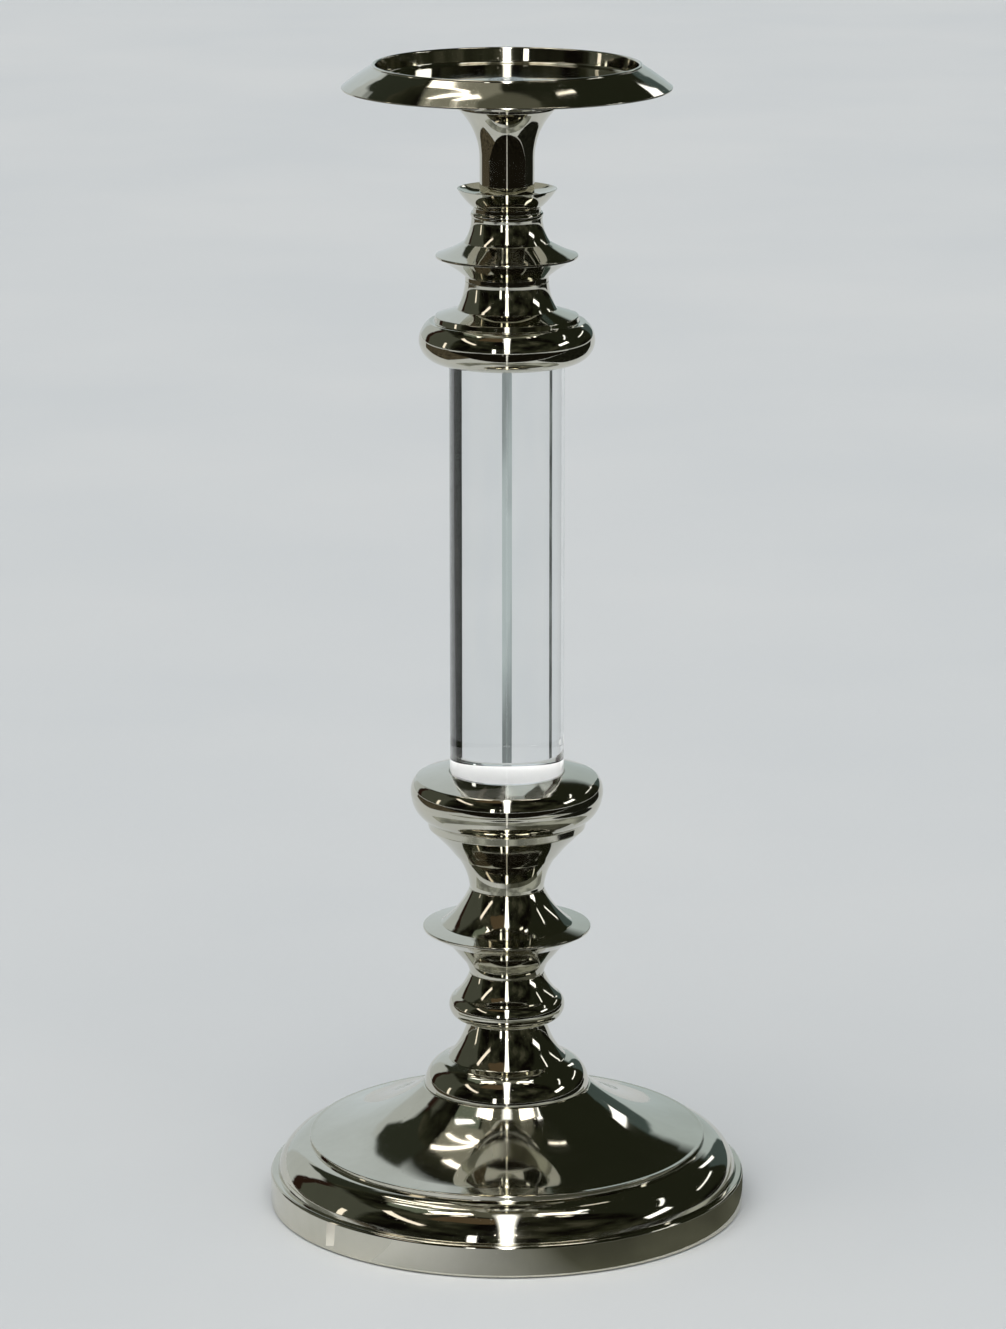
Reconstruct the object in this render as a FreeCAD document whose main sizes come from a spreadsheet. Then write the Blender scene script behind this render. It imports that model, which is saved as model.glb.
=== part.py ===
"""Altar candlestick: polished nickel-plated brass turnings above and below a clear acrylic column.

Lengths are millimetres. The origin is on the axis, in the plane that the candlestick stands on, and +Z is up.
Nearly every piece is turned, so it is one outline in the XZ plane revolved about Z. Each outline is written
in the piece's own frame, with z = 0 at the face it sits on, and the pieces are stacked by their seats.
"""
import FreeCAD, Part
import Sketcher

import math
import os
import re

SIZES = [
    # alias, value, what it is
    ("foot_gap", 0.5, "the skirt's edge above the table, where the felt stands proud"),
    ("base_radius", 84.3, "outside radius of the base's skirt"),
    ("shell_height", 42.5, "skirt's edge to the flat that the ferrule stands on"),
    ("shell_wall", 1.6, "spun brass sheet of the base"),
    ("skirt_height", 11.3, "straight band round the foot"),
    ("edge_round", 1.2, "round at the skirt's top edge"),
    ("ledge_width", 1.4, "flat between the skirt's edge and the rim's crown"),
    ("rim_width", 11.5, "width of the rim's crown, up to the step ring"),
    ("rim_rise", 11.2, "height of the rim's crown"),
    ("rim_turn", 76, "degrees that the rim's crown turns through"),
    ("step_rise", 1.8, "height of the step ring"),
    ("step_width", 1.4, "width of the step ring's flat top"),
    ("dome_turn", 30, "degrees that the hollow dome turns through"),
    ("shoulder_reveal", 0.5, "flat of the dome left showing round the ferrule"),
    ("ferrule_radius", 29.2, "foot of the ferrule's roll"),
    ("ferrule_height", 23.6, "ferrule, seat to seat"),
    ("roll_height", 9.6, "the ferrule's roll"),
    ("roll_top_radius", 22.8, "top edge of the roll"),
    ("roll_turn", 66, "degrees that the roll turns through"),
    ("land_width", 2.0, "step inward above the roll"),
    ("land_rise", 0.8, "slope of that step"),
    ("ferrule_turn", 32, "degrees that the ferrule's flare turns through"),
    ("ferrule_waist", 13.9, "radius where ferrule and knob meet"),
    ("knob_height", 17.9, "knob, seat to seat"),
    ("knob_foot_radius", 17.2, "lower edge of the knob's ball"),
    ("knob_foot_height", 1.2, "height of that edge"),
    ("knob_shoulder_radius", 18.0, "upper edge of the knob's ball"),
    ("knob_ball_height", 8.9, "the ball, edge to edge"),
    ("knob_turn", 130, "degrees that the ball's side turns through"),
    ("knob_neck_turn", 26, "degrees that the knob's neck turns through"),
    ("knob_waist", 13.2, "radius where knob and lower flange meet"),
    ("flange_height", 31.0, "lower flange, seat to seat"),
    ("flange_radius", 29.6, "tip of the lower flange"),
    ("flange_level", 16.3, "underside of that tip above the seat"),
    ("flange_tip", 0.8, "thickness of that tip"),
    ("flange_foot_radius", 15.0, "foot of the flange's underside"),
    ("flange_foot_height", 4.4, "height of that foot"),
    ("flange_step_radius", 21.6, "step on the flange's underside"),
    ("flange_step_height", 12.2, "height of that step"),
    ("flange_step_width", 1.0, "width of that step"),
    ("bell_radius", 23.2, "foot of the bell above the flange"),
    ("bell_foot_rise", 1.0, "dish of the flange's top, tip to bell"),
    ("bell_turn", 32, "degrees that the bell turns through"),
    ("flange_waist", 13.1, "radius where lower flange and capital meet"),
    ("capital_height", 42.4, "capital, seat to top"),
    ("capital_width", 13.45, "column's seat to the widest part of the capital, outward"),
    ("capital_level", 33.4, "height of the widest part"),
    ("capital_neck_radius", 17.3, "bead on the capital's neck"),
    ("capital_neck_height", 11.4, "height of that bead"),
    ("bead_step", 0.5, "how far a small bead stands out"),
    ("bowl_foot_radius", 21.4, "foot of the capital's bowl"),
    ("bowl_foot_height", 16.2, "height of that foot"),
    ("bowl_step_radius", 27.6, "step on the bowl's underside"),
    ("bowl_step_height", 22.4, "height of that step"),
    ("bowl_step_rise", 2.8, "upright face of that step"),
    ("bowl_turn", 56, "degrees that the bowl's side turns through"),
    ("crown_width", 11.65, "column's seat to the shoulder of the capital's top, outward"),
    ("crown_rise", 6.8, "widest part to that shoulder"),
    ("crown_turn", 60, "degrees that the capital's crown turns through"),
    ("top_turn", 10, "degrees that the capital's top turns through"),
    ("column_radius", 20.0, "clear acrylic column"),
    ("column_length", 148.4, "clear acrylic column"),
    ("column_chamfer", 0.4, "polished bevel on the column's ends"),
    ("column_clearance", 0.15, "room round the column in its seats"),
    ("pad_thickness", 0.8, "white mounting pad under and over the column"),
    ("seat_depth", 1.0, "recess in the capital for pad and column"),
    ("socket_depth", 3.0, "recess in the collar for pad and column"),
    ("collar_height", 28.0, "upper collar, seat to seat"),
    ("collar_foot_wall", 3.85, "metal round the column's socket at the collar's lower edge"),
    ("collar_bulge", 6.4, "lower edge to the widest part, outward"),
    ("collar_level", 6.8, "height of the widest part"),
    ("collar_foot_turn", 74, "degrees that the collar turns through below its widest part"),
    ("collar_crown_width", 3.0, "lower edge to the bulge's top edge, outward"),
    ("collar_crown_rise", 7.2, "widest part to that edge"),
    ("collar_crown_turn", 56, "degrees that the collar turns through above its widest part"),
    ("collar_step_width", 1.2, "lower edge to the step ring, outward"),
    ("collar_step_rise", 1.9, "height of that ring"),
    ("collar_cone_radius", 17.3, "foot of the collar's cone"),
    ("collar_cone_height", 18.3, "height of that foot"),
    ("collar_cone_turn", 30, "degrees that the cone turns through"),
    ("collar_waist", 14.4, "radius where collar and upper disc meet"),
    ("disc_height", 22.0, "upper disc, seat to seat"),
    ("disc_radius", 24.5, "tip of the upper disc"),
    ("disc_level", 8.2, "underside of that tip above the seat"),
    ("disc_tip", 0.7, "thickness of that tip"),
    ("disc_foot_height", 1.6, "straight foot below the disc"),
    ("disc_under_turn", 16, "degrees that the disc's underside turns through"),
    ("disc_neck_radius", 14.9, "neck on top of the disc"),
    ("disc_neck_rise", 4.5, "tip to that neck"),
    ("disc_over_turn", 14, "degrees that the disc's top turns through"),
    ("disc_neck_turn", 34, "degrees that the neck turns through"),
    ("disc_waist", 12.2, "radius where upper disc and cup neck meet"),
    ("neck_piece_height", 38.1, "cup neck, seat to seat"),
    ("joint_bead_height", 1.8, "round bead at the foot of the cup neck"),
    ("joint_bead_turn", 80, "degrees that the bead turns through"),
    ("cup_foot_height", 3.4, "foot of the upturned cup"),
    ("cup_radius", 17.2, "lip of the upturned cup"),
    ("cup_level", 9.8, "height of the lip"),
    ("cup_lip", 0.5, "width of the lip"),
    ("cup_side_turn", 18, "degrees that the cup's outside turns through"),
    ("cup_floor_height", 7.2, "floor of the cup at the neck"),
    ("cup_hollow_turn", 42, "degrees that the cup's hollow turns through"),
    ("neck_radius", 9.4, "straight neck above the cup"),
    ("neck_top_height", 20.5, "where the neck starts to flare"),
    ("trumpet_radius", 17.0, "trumpet's mouth, where the plate sits"),
    ("trumpet_turn", 46, "degrees that the trumpet turns through"),
    ("trumpet_edge", 0.8, "straight edge of the trumpet's mouth"),
    ("plate_height", 14.4, "candle plate, seat to rim"),
    ("plate_radius", 56.5, "brim of the candle plate"),
    ("brim_level", 6.0, "underside of the brim above the seat"),
    ("brim_edge", 0.5, "thickness of the brim's edge"),
    ("slope_turn", 7, "degrees that the brim's slope turns through"),
    ("rim_radius", 46.2, "outside of the raised rim"),
    ("rim_land", 1.4, "width of the rim's rounded top"),
    ("rim_round_turn", 180, "degrees that the rim's top turns through"),
    ("recess_draft", 0.5, "how far the recess narrows towards its floor"),
    ("recess_depth", 5.5, "depth of the candle's seat below the rim"),
    ("recess_round", 1.0, "round between the recess's wall and floor"),
    ("plate_floor", 3.3, "metal under the candle's seat"),
    ("boss_flare", 9.0, "width of the hollow flare round the plate's boss"),
    ("boss_turn", 50, "degrees that the boss's flare turns through"),
    ("lower_rod_radius", 4.0, "tie rod through the lower stem"),
    ("upper_rod_radius", 3.0, "stud through the upper stem"),
    ("rod_chamfer", 0.6, "bevel on the rods' ends"),
    ("rod_clearance", 0.3, "room round a rod in a plain bore"),
    ("thread_clearance", 0.03, "room round a rod in a tapped hole"),
    ("lower_thread_depth", 14.0, "tapped hole in the capital"),
    ("upper_thread_depth", 12.0, "tapped holes in collar and cup neck"),
    ("rod_end_gap", 1.0, "room left past a rod's end in a tapped hole"),
    ("rod_tail", 3.0, "tie rod showing below its nut"),
    ("spigot_radius", 8.0, "locating spigots between the turned pieces"),
    ("spigot_height", 1.4, "height of a spigot"),
    ("spigot_clearance", 0.1, "room round and past a spigot"),
    ("felt_thickness", 2.0, "felt under the base"),
    ("felt_inset", 1.0, "felt's edge inside the skirt"),
    ("cover_thickness", 2.2, "steel disc that closes the base"),
    ("cover_clearance", 0.2, "room round the disc in the skirt"),
    ("weight_margin", 12.7, "room round the cast-iron weight in the skirt"),
    ("weight_edge", 5.0, "height of the weight's outer edge"),
    ("weight_crown_radius", 24.0, "foot of the weight's boss"),
    ("weight_crown_height", 12.0, "height of that foot"),
    ("weight_boss_radius", 17.0, "top of the weight's boss"),
    ("pocket_radius", 13.0, "pocket for the nut in the weight"),
    ("pocket_depth", 20.0, "that pocket"),
    ("washer_radius", 10.0, "plain washer"),
    ("washer_thickness", 1.6, "plain washer"),
    ("spring_washer_radius", 7.4, "split spring washer"),
    ("spring_washer_thickness", 2.0, "split spring washer"),
    ("spring_washer_split", 1.5, "gap in the spring washer"),
    ("nut_across_flats", 13.0, "hexagon nut"),
    ("nut_height", 6.5, "hexagon nut"),
    ("nut_chamfer", 0.7, "bevel on the nut's corners"),
    ("cover_screw_circle", 45.0, "radius of the circle that the cover screws lie on"),
    ("cover_screw_radius", 2.0, "cover screw's shank"),
    ("cover_screw_head", 4.0, "radius of its countersunk head"),
    ("cover_screw_length", 9.0, "head's face to tip"),
    ("plate_screw_head", 6.0, "radius of the plate screw's countersunk head"),
    ("plate_screw_reach", 10.5, "plate screw's thread in the cup neck"),
    ("key_across_flats", 4.0, "hexagon key's socket in the plate screw"),
    ("key_depth", 2.4, "depth of that socket"),
]
COVER_SCREWS = 3
SHEET = "Sizes"
FLATS_TO_CORNERS = math.sqrt(3)  # a hexagon's width across its flats over the radius of its corners

doc = FreeCAD.newDocument("altar_candlestick")
sheet = doc.addObject("Spreadsheet::Sheet", SHEET)
pieces = []


def fill_sheet():
    """Writes every size into the sheet, one row each, with its alias and its meaning."""
    for row, (alias, value, meaning) in enumerate(SIZES, start=1):
        sheet.set(f"A{row}", alias)
        sheet.set(f"B{row}", str(value))
        sheet.set(f"C{row}", meaning)
        sheet.setAlias(f"B{row}", alias)
    doc.recompute()


def cell(expression):
    """The expression with each size's name read from the sheet."""
    return re.sub(r"[a-z_]+", lambda word: f"{SHEET}.{word.group(0)}", expression)


def value_of(expression):
    """The expression's value with the sizes that the sheet holds now."""
    return float(sheet.evalExpression(cell(expression)))


def line(radius, height):
    """A straight stretch of an outline, ending at this radius and height."""
    return radius, height, None, 0


def bulge(radius, height, turn):
    """A round stretch that bulges out of the metal and turns through this many degrees."""
    return radius, height, turn, 1


def hollow(radius, height, turn):
    """A round stretch that is hollowed into the metal."""
    return radius, height, turn, -1


def arc_between(start, end, turn, side):
    """The arc from start to end that turns through this angle; its centre is in the metal if side is 1."""
    chord = end - start
    sweep = math.radians(turn)
    radius = chord.Length / (2 * math.sin(sweep / 2))
    to_left = FreeCAD.Vector(-chord.y, chord.x, 0).normalize()
    centre = (start + end) / 2 + to_left * (side * radius * math.cos(sweep / 2))
    first, last = (start, end) if side > 0 else (end, start)
    first_angle = math.atan2(first.y - centre.y, first.x - centre.x)
    last_angle = math.atan2(last.y - centre.y, last.x - centre.x)
    circle = Part.Circle(centre, FreeCAD.Vector(0, 0, 1), radius)
    return Part.ArcOfCircle(circle, first_angle, last_angle)


def place_point(sketch, geometry, end, radius, height):
    """Ties one end of an outline's stretch to its radius and height."""
    if radius == "0":
        sketch.addConstraint(Sketcher.Constraint("PointOnObject", geometry, end, -2))
    else:
        at = sketch.addConstraint(Sketcher.Constraint("DistanceX", -1, 1, geometry, end, value_of(radius)))
        sketch.setExpression(f"Constraints[{at}]", cell(radius))
    if height == "0":
        sketch.addConstraint(Sketcher.Constraint("PointOnObject", geometry, end, -1))
    else:
        at = sketch.addConstraint(Sketcher.Constraint("DistanceY", -1, 1, geometry, end, value_of(height)))
        sketch.setExpression(f"Constraints[{at}]", cell(height))


def draw_outline(sketch, outline):
    """Draws the closed outline anticlockwise, each stretch ending where the list says."""
    corners = [FreeCAD.Vector(value_of(r), value_of(z), 0) for r, z, _, _ in outline]
    starts = []
    for index, (_, _, turn, side) in enumerate(outline):
        start = corners[index - 1]
        end = corners[index]
        if turn is None:
            geometry = sketch.addGeometry(Part.LineSegment(start, end))
        else:
            geometry = sketch.addGeometry(arc_between(start, end, value_of(turn), side))
        first, last = (2, 1) if side < 0 else (1, 2)
        starts.append((geometry, first, last))
    for index, (radius, height, turn, _) in enumerate(outline):
        geometry, _, last = starts[index]
        following, following_first, _ = starts[(index + 1) % len(starts)]
        sketch.addConstraint(
            Sketcher.Constraint("Coincident", geometry, last, following, following_first)
        )
        place_point(sketch, geometry, last, radius, height)
        if turn is not None:
            at = sketch.addConstraint(
                Sketcher.Constraint("Angle", geometry, math.radians(value_of(turn)))
            )
            sketch.setExpression(f"Constraints[{at}]", f"{cell(turn)} * 1 deg")


def origin_plane(body, role):
    """One of the body's own origin planes."""
    return next(plane for plane in body.Origin.OriginFeatures if plane.Role == role)


def turned_body(name, seat, outline):
    """A body revolved about Z from its outline, standing with its z = 0 at the seat."""
    body = doc.addObject("PartDesign::Body", name)
    sketch = body.newObject("Sketcher::SketchObject", f"{name}_outline")
    sketch.AttachmentSupport = (origin_plane(body, "XZ_Plane"), [""])
    sketch.MapMode = "FlatFace"
    draw_outline(sketch, outline)
    turning = body.newObject("PartDesign::Revolution", f"{name}_turning")
    turning.Profile = sketch
    turning.ReferenceAxis = (sketch, ["V_Axis"])
    turning.Angle = 360
    body.setExpression("Placement.Base.z", cell(seat))
    doc.recompute()
    return body


def sub_part(thing, name):
    """Names a finished piece and puts it on the list of those to be written."""
    thing.Label = name
    pieces.append(thing)
    return thing


def primitive(kind, name, **sizes):
    """A Part primitive with its properties bound to the sheet."""
    thing = doc.addObject(kind, name)
    for key, expression in sizes.items():
        thing.setExpression(key.replace("_", "."), cell(expression))
    return thing


def hexagon(name, across_flats, height, seat):
    """A hexagonal prism standing on its seat."""
    prism = primitive(
        "Part::Prism",
        name,
        Circumradius=f"{across_flats} / {FLATS_TO_CORNERS}",
        Height=height,
        Placement_Base_z=seat,
    )
    prism.Polygon = 6
    return prism


def cut(name, base, tool):
    """The base with the tool's shape taken out."""
    made = doc.addObject("Part::Cut", name)
    made.Base = base
    made.Tool = tool
    doc.recompute()
    return made


# Where each piece sits, as a sum of what is under it.
COVER_SEAT = "felt_thickness"
WEIGHT_SEAT = COVER_SEAT + " + cover_thickness"
SHELL_SEAT = "foot_gap"
FERRULE_SEAT = SHELL_SEAT + " + shell_height"
KNOB_SEAT = FERRULE_SEAT + " + ferrule_height"
FLANGE_SEAT = KNOB_SEAT + " + knob_height"
CAPITAL_SEAT = FLANGE_SEAT + " + flange_height"
LOWER_PAD_SEAT = CAPITAL_SEAT + " + capital_height - seat_depth"
COLUMN_SEAT = LOWER_PAD_SEAT + " + pad_thickness"
UPPER_PAD_SEAT = COLUMN_SEAT + " + column_length"
COLLAR_SEAT = UPPER_PAD_SEAT + " + pad_thickness - socket_depth"
DISC_SEAT = COLLAR_SEAT + " + collar_height"
NECK_SEAT = DISC_SEAT + " + disc_height"
PLATE_SEAT = NECK_SEAT + " + neck_piece_height"

# Bores, spigots and the recesses that they enter.
LOWER_BORE = "lower_rod_radius + rod_clearance"
UPPER_BORE = "upper_rod_radius + rod_clearance"
LOWER_TAPPING = "lower_rod_radius + thread_clearance"
UPPER_TAPPING = "upper_rod_radius + thread_clearance"
SPIGOT_HOLE = "spigot_radius + spigot_clearance"
SPIGOT_HOLE_DEPTH = "spigot_height + spigot_clearance"
COLUMN_HOLE = "column_radius + column_clearance"


def recess_below(bore):
    """The foot of a stem piece: from its bore out along the roof of its recess and down to its seat."""
    return [line(bore, SPIGOT_HOLE_DEPTH), line(SPIGOT_HOLE, SPIGOT_HOLE_DEPTH), line(SPIGOT_HOLE, "0")]


def spigot_above(bore, top):
    """The head of a stem piece: in along its top, up its spigot and in to its bore."""
    tip = f"{top} + spigot_height"
    return [line("spigot_radius", top), line("spigot_radius", tip), line(bore, tip)]


def make_felt_pad():
    felt = primitive(
        "Part::Cylinder", "felt_pad", Radius="base_radius - shell_wall - felt_inset", Height="felt_thickness"
    )
    doc.recompute()
    return sub_part(felt, "felt_pad")


def cover_screw_set(name, room):
    """Countersunk screws, head down, on their circle; room makes the same shapes larger, as a drill does."""
    screws = []
    head_height = "cover_screw_head - cover_screw_radius"
    for index in range(COVER_SCREWS):
        head = primitive(
            "Part::Cone",
            f"{name}_head_{index}",
            Radius1=f"cover_screw_head + {room}",
            Radius2=f"cover_screw_radius + {room}",
            Height=head_height,
        )
        shank = primitive(
            "Part::Cylinder",
            f"{name}_shank_{index}",
            Radius=f"cover_screw_radius + {room}",
            Height=f"cover_screw_length + {room}",
        )
        screw = doc.addObject("Part::Fuse", f"{name}_{index}")
        screw.Base = head
        screw.Tool = shank
        angle = 360 * index / COVER_SCREWS
        for axis, factor in (("x", f"cos({angle} deg)"), ("y", f"sin({angle} deg)")):
            screw.setExpression(f"Placement.Base.{axis}", f"{cell('cover_screw_circle')} * {factor}")
        screw.setExpression("Placement.Base.z", cell(COVER_SEAT))
        screws.append(screw)
    group = doc.addObject("Part::Compound", name)
    group.Links = screws
    doc.recompute()
    return group


def make_base_cover(screw_holes):
    disc = primitive(
        "Part::Cylinder",
        "cover_disc",
        Radius="base_radius - shell_wall - cover_clearance",
        Height="cover_thickness",
        Placement_Base_z=COVER_SEAT,
    )
    return sub_part(cut("base_cover", disc, screw_holes), "base_cover")


def make_base_weight(screw_holes):
    """A cast disc with a boss that bears up against the shell, and a pocket for the nut below."""
    top = "foot_gap + shell_height - shell_wall - felt_thickness - cover_thickness"
    weight_radius = "base_radius - shell_wall - weight_margin"
    outline = [
        line("pocket_radius", "0"),
        line(weight_radius, "0"),
        line(weight_radius, "weight_edge"),
        line("weight_crown_radius", "weight_crown_height"),
        line("weight_boss_radius", top),
        line(LOWER_BORE, top),
        line(LOWER_BORE, "pocket_depth"),
        line("pocket_radius", "pocket_depth"),
    ]
    casting = turned_body("weight_casting", WEIGHT_SEAT, outline)
    return sub_part(cut("base_weight", casting, screw_holes), "base_weight")


def make_base_shell():
    """Spun sheet: skirt, rounded edge, ledge, crowned rim, step ring and hollow dome, all one wall thick."""
    rim_foot = "base_radius - edge_round - ledge_width"
    step_radius = rim_foot + " - rim_width"
    rim_top = "skirt_height + rim_rise"
    step_top = rim_top + " + step_rise"
    shoulder = "ferrule_radius + shoulder_reveal"
    outline = [
        line("base_radius - shell_wall", "0"),
        line("base_radius", "0"),
        line("base_radius", "skirt_height - edge_round"),
        bulge("base_radius - edge_round", "skirt_height", "90"),
        line(rim_foot, "skirt_height"),
        bulge(step_radius, rim_top, "rim_turn"),
        line(step_radius, step_top),
        line(step_radius + " - step_width", step_top),
        hollow(shoulder, "shell_height", "dome_turn"),
        line(SPIGOT_HOLE, "shell_height"),
        line(SPIGOT_HOLE, "shell_height - shell_wall"),
        line(shoulder + " - shell_wall / 2", "shell_height - shell_wall"),
        bulge(step_radius + " - shell_wall", step_top + " - shell_wall", "dome_turn"),
        line(step_radius + " - shell_wall", rim_top + " - shell_wall"),
        line(step_radius, rim_top + " - shell_wall"),
        hollow(rim_foot + " - shell_wall", "skirt_height", "rim_turn"),
        line(rim_foot + " - shell_wall", "skirt_height - shell_wall"),
        line("base_radius - shell_wall", "skirt_height - shell_wall"),
    ]
    return sub_part(turned_body("base_shell", SHELL_SEAT, outline), "base_shell")


def make_base_ferrule():
    """The roll and flare that stand on the dome, with a spigot down through the dome's hole."""
    land = "roll_top_radius - land_width"
    outline = [
        line("spigot_radius", "0"),
        line("ferrule_radius", "0"),
        bulge("roll_top_radius", "roll_height", "roll_turn"),
        line(land, "roll_height + land_rise"),
        hollow("ferrule_waist", "ferrule_height", "ferrule_turn"),
    ]
    outline += spigot_above(LOWER_BORE, "ferrule_height")
    outline += [line(LOWER_BORE, "0 - spigot_height"), line("spigot_radius", "0 - spigot_height")]
    return sub_part(turned_body("base_ferrule", FERRULE_SEAT, outline), "base_ferrule")


def make_knob():
    shoulder_height = "knob_foot_height + knob_ball_height"
    outline = recess_below(LOWER_BORE) + [
        line("ferrule_waist", "0"),
        line("knob_foot_radius", "knob_foot_height"),
        bulge("knob_shoulder_radius", shoulder_height, "knob_turn"),
        hollow("knob_waist", "knob_height", "knob_neck_turn"),
    ]
    outline += spigot_above(LOWER_BORE, "knob_height")
    return sub_part(turned_body("knob", KNOB_SEAT, outline), "knob")


def make_lower_flange():
    """A thin sharp flange with a stepped underside and a bell above it."""
    tip_top = "flange_level + flange_tip"
    outline = recess_below(LOWER_BORE) + [
        line("knob_waist", "0"),
        hollow("flange_foot_radius", "flange_foot_height", "knob_neck_turn"),
        line("flange_step_radius", "flange_step_height"),
        line("flange_step_radius + flange_step_width", "flange_step_height"),
        line("flange_radius", "flange_level"),
        line("flange_radius", tip_top),
        line("bell_radius", tip_top + " + bell_foot_rise"),
        hollow("flange_waist", "flange_height", "bell_turn"),
    ]
    outline += spigot_above(LOWER_BORE, "flange_height")
    return sub_part(turned_body("lower_flange", FLANGE_SEAT, outline), "lower_flange")


def make_capital():
    """Beaded neck, stepped bowl and crowned top, tapped from below and recessed on top for the column."""
    step_top = "bowl_step_height + bowl_step_rise"
    seat_floor = "capital_height - seat_depth"
    outline = [
        line(LOWER_TAPPING, "lower_thread_depth"),
        line(LOWER_TAPPING, SPIGOT_HOLE_DEPTH),
        line(SPIGOT_HOLE, SPIGOT_HOLE_DEPTH),
        line(SPIGOT_HOLE, "0"),
        line("flange_waist", "0"),
        hollow("capital_neck_radius", "capital_neck_height", "bell_turn"),
        line("capital_neck_radius + bead_step", "capital_neck_height + bead_step"),
        line("bowl_foot_radius", "bowl_foot_height"),
        line("bowl_step_radius", "bowl_step_height"),
        line("bowl_step_radius + bead_step", step_top),
        bulge(COLUMN_HOLE + " + capital_width", "capital_level", "bowl_turn"),
        bulge(COLUMN_HOLE + " + crown_width", "capital_level + crown_rise", "crown_turn"),
        bulge(COLUMN_HOLE, "capital_height", "top_turn"),
        line(COLUMN_HOLE, seat_floor),
        line("0", seat_floor),
        line("0", "lower_thread_depth"),
    ]
    return sub_part(turned_body("capital", CAPITAL_SEAT, outline), "capital")


def make_pad(name, seat):
    """A white double-sided mounting pad as wide as the column."""
    pad = primitive(
        "Part::Cylinder", name, Radius="column_radius", Height="pad_thickness", Placement_Base_z=seat
    )
    doc.recompute()
    return sub_part(pad, name)


def make_column():
    """The clear acrylic column, solid, with a narrow bevel at each end."""
    outline = [
        line("0", "0"),
        line("column_radius - column_chamfer", "0"),
        line("column_radius", "column_chamfer"),
        line("column_radius", "column_length - column_chamfer"),
        line("column_radius - column_chamfer", "column_length"),
        line("0", "column_length"),
    ]
    return sub_part(turned_body("column", COLUMN_SEAT, outline), "column")


def make_upper_collar():
    """Bulging collar over the column's top, with a step ring and a cone up to the stem."""
    collar_foot = COLUMN_HOLE + " + collar_foot_wall"
    crown = "collar_level + collar_crown_rise"
    step_top = crown + " + collar_step_rise"
    thread_floor = "collar_height - upper_thread_depth"
    outline = [
        line("0", "socket_depth"),
        line(COLUMN_HOLE, "socket_depth"),
        line(COLUMN_HOLE, "0"),
        line(collar_foot, "0"),
        bulge(collar_foot + " + collar_bulge", "collar_level", "collar_foot_turn"),
        bulge(collar_foot + " + collar_crown_width", crown, "collar_crown_turn"),
        line(collar_foot + " + collar_step_width", crown),
        line(collar_foot + " + collar_step_width - bead_step", step_top),
        line("collar_cone_radius", "collar_cone_height"),
        hollow("collar_waist", "collar_height", "collar_cone_turn"),
    ]
    outline += spigot_above(UPPER_TAPPING, "collar_height")
    outline += [line(UPPER_TAPPING, thread_floor), line("0", thread_floor)]
    return sub_part(turned_body("upper_collar", COLLAR_SEAT, outline), "upper_collar")


def make_upper_disc():
    """A thin sharp disc on a short foot, with a hollow neck above."""
    tip_top = "disc_level + disc_tip"
    outline = recess_below(UPPER_BORE) + [
        line("collar_waist", "0"),
        line("collar_waist", "disc_foot_height"),
        hollow("disc_radius", "disc_level", "disc_under_turn"),
        line("disc_radius", tip_top),
        hollow("disc_neck_radius", tip_top + " + disc_neck_rise", "disc_over_turn"),
        hollow("disc_waist", "disc_height", "disc_neck_turn"),
    ]
    outline += spigot_above(UPPER_BORE, "disc_height")
    return sub_part(turned_body("upper_disc", DISC_SEAT, outline), "upper_disc")


def make_cup_neck():
    """Bead, upturned cup, straight neck and trumpet, tapped from both ends."""
    top = "neck_piece_height"
    outline = [
        line("0", "upper_thread_depth"),
        line(UPPER_TAPPING, "upper_thread_depth"),
        line(UPPER_TAPPING, SPIGOT_HOLE_DEPTH),
        line(SPIGOT_HOLE, SPIGOT_HOLE_DEPTH),
        line(SPIGOT_HOLE, "0"),
        line("disc_waist", "0"),
        bulge("disc_waist", "joint_bead_height", "joint_bead_turn"),
        line("disc_waist - bead_step", "joint_bead_height"),
        line("disc_waist - bead_step", "cup_foot_height"),
        bulge("cup_radius", "cup_level", "cup_side_turn"),
        line("cup_radius - cup_lip", "cup_level"),
        hollow("neck_radius", "cup_floor_height", "cup_hollow_turn"),
        line("neck_radius", "neck_top_height"),
        hollow("trumpet_radius", top + " - trumpet_edge", "trumpet_turn"),
        line("trumpet_radius", top),
    ]
    outline += spigot_above(UPPER_TAPPING, top)
    outline += [
        line(UPPER_TAPPING, top + " - upper_thread_depth"),
        line("0", top + " - upper_thread_depth"),
    ]
    return sub_part(turned_body("cup_neck", NECK_SEAT, outline), "cup_neck")


def make_candle_plate():
    """A wide plate with a knife-edged brim, a raised rim and a shallow seat for a pillar candle."""
    floor = "plate_height - recess_depth"
    underside = floor + " - plate_floor"
    wall_top = "rim_radius - rim_land"
    wall_foot = wall_top + " - recess_draft"
    sink = "plate_screw_head - upper_rod_radius"
    outline = [
        line(UPPER_BORE, SPIGOT_HOLE_DEPTH),
        line(SPIGOT_HOLE, SPIGOT_HOLE_DEPTH),
        line(SPIGOT_HOLE, "0"),
        line("trumpet_radius", "0"),
        hollow("trumpet_radius + boss_flare", underside, "boss_turn"),
        line(wall_foot, underside),
        line("plate_radius", "brim_level"),
        line("plate_radius", "brim_level + brim_edge"),
        bulge("rim_radius", "plate_height - rim_land / 2", "slope_turn"),
        bulge(wall_top, "plate_height - rim_land / 2", "rim_round_turn"),
        line(wall_foot, floor + " + recess_round"),
        hollow(wall_foot + " - recess_round", floor, "90"),
        line("plate_screw_head + rod_clearance", floor),
        line(UPPER_BORE, f"{floor} - ({sink})"),
    ]
    return sub_part(turned_body("candle_plate", PLATE_SEAT, outline), "candle_plate")


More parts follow.
